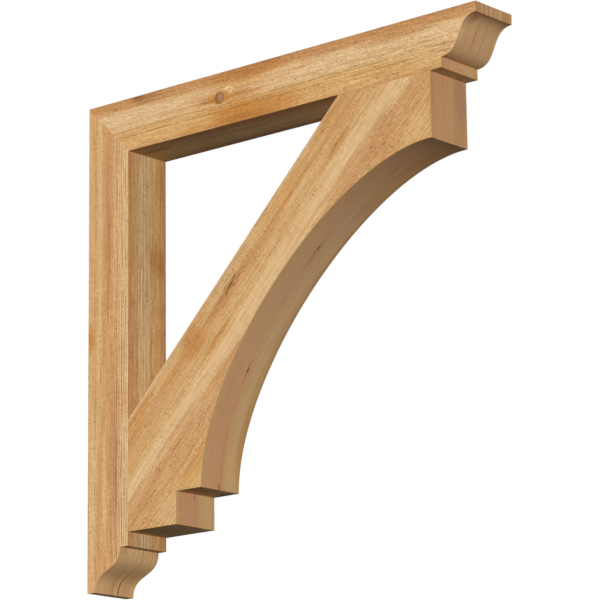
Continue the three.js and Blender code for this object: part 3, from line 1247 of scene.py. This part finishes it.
def add_floor(drop):
    """A wide pale floor that shows from above only, and throws no light up at the bracket."""
    mesh = bpy.data.meshes.new("floor")
    corners = [(x * FLOOR_REACH, y * FLOOR_REACH, -drop) for x, y in ((-1, -1), (1, -1), (1, 1), (-1, 1))]
    mesh.from_pydata(corners, [], [(0, 1, 2, 3)])
    floor = bpy.data.objects.new("floor", mesh)
    bpy.context.scene.collection.objects.link(floor)
    floor.visible_diffuse = False
    floor.visible_glossy = False
    floor.visible_shadow = False
    material = bpy.data.materials.new("floor_paint")
    material.use_nodes = True
    t = Shades(material.node_tree)
    shader = t.tree.nodes["Principled BSDF"]
    t.feed(shader, {"Base Color": FLOOR_PAINT, "Roughness": 0.9})
    below = t.add("NewGeometry").outputs["Backfacing"]
    clear = t.add("BsdfTransparent").outputs["BSDF"]
    either = t.add("MixShader", {0: below, 1: shader.outputs["BSDF"], 2: clear})
    t.feed(t.tree.nodes["Material Output"], {"Surface": either.outputs["Shader"]})
    mesh.materials.append(material)


def light_world(scene):
    """White to the camera; to the bracket a soft dome, bright overhead and dim below."""
    world = bpy.data.worlds.new("studio_world")
    world.use_nodes = True
    scene.world = world
    t = Shades(world.node_tree)
    backdrop = t.tree.nodes["Background"]
    t.feed(backdrop, {"Color": WHITE})
    upward = t.split(t.add("TexCoord").outputs["Generated"])["Z"]
    level = t.add("MapRange", {"Value": upward, "From Min": -1.0}).outputs["Result"]
    dome = t.add("Background", {"Color": t.ramp(level, DOME)})
    seen = t.add("LightPath").outputs["Is Camera Ray"]
    either = t.add("MixShader", {0: seen, 1: dome.outputs["Background"], 2: backdrop.outputs["Background"]})
    t.feed(t.tree.nodes["World Output"], {"Surface": either.outputs["Shader"]})


def add_camera(scene, studio):
    """The camera, turned, raised and leant at its place."""
    lens = bpy.data.cameras.new("camera")
    lens.sensor_width = SENSOR_WIDTH
    lens.lens = studio.lens
    lens.clip_end = FURTHEST_SEEN
    camera = bpy.data.objects.new("camera", lens)
    turn = Matrix.Rotation(studio.camera_turn, 4, "Z")
    rise = Matrix.Rotation(math.pi / 2 + studio.camera_rise, 4, "X")
    lean = Matrix.Rotation(studio.camera_lean, 4, "Z")
    camera.matrix_world = Matrix.Translation(studio.camera_place) @ turn @ rise @ lean
    scene.collection.objects.link(camera)
    scene.camera = camera


class BRACKET_OT_studio(Operator):
    """Set up the floor, the light and the camera"""

    bl_idname = "bracket.studio"
    bl_label = "Studio"

    def execute(self, context):
        studio = context.scene.bracket_studio
        add_floor(studio.floor_drop)
        light_world(context.scene)
        for name, (towards, softness) in SUNS.items():
            add_sun(name + "_light", towards, getattr(studio, name + "_strength"), softness)
        add_camera(context.scene, studio)
        context.scene.view_settings.view_transform = "Standard"
        return {"FINISHED"}


class BRACKET_PT_panel(Panel):
    """Sidebar panel that lists the bracket's sizes and builders"""

    bl_idname = "BRACKET_PT_panel"
    bl_label = "Corbel bracket"
    bl_space_type = "VIEW_3D"
    bl_region_type = "UI"
    bl_category = "Bracket"

    def draw(self, context):
        layout = self.layout
        for operator in OPERATORS:
            layout.operator(operator.bl_idname)
        scene = context.scene
        for group in (scene.bracket_shape, scene.bracket_tones, scene.bracket_studio):
            box = layout.box()
            for name in group.__annotations__:
                box.prop(group, name)


OPERATORS = (BRACKET_OT_wall_post, BRACKET_OT_top_arm, BRACKET_OT_arched_brace, BRACKET_OT_studio)
CLASSES = (BracketShape, TimberTones, StudioSettings, *OPERATORS, BRACKET_PT_panel)


def register():
    for cls in CLASSES:
        bpy.utils.register_class(cls)
    bpy.types.Scene.bracket_shape = PointerProperty(type=BracketShape)
    bpy.types.Scene.bracket_tones = PointerProperty(type=TimberTones)
    bpy.types.Scene.bracket_studio = PointerProperty(type=StudioSettings)


def unregister():
    del bpy.types.Scene.bracket_studio
    del bpy.types.Scene.bracket_tones
    del bpy.types.Scene.bracket_shape
    for cls in reversed(CLASSES):
        bpy.utils.unregister_class(cls)


def main():
    register()
    bpy.ops.bracket.wall_post()
    bpy.ops.bracket.top_arm()
    bpy.ops.bracket.arched_brace()
    bpy.ops.bracket.studio()


if __name__ == "__main__":
    main()
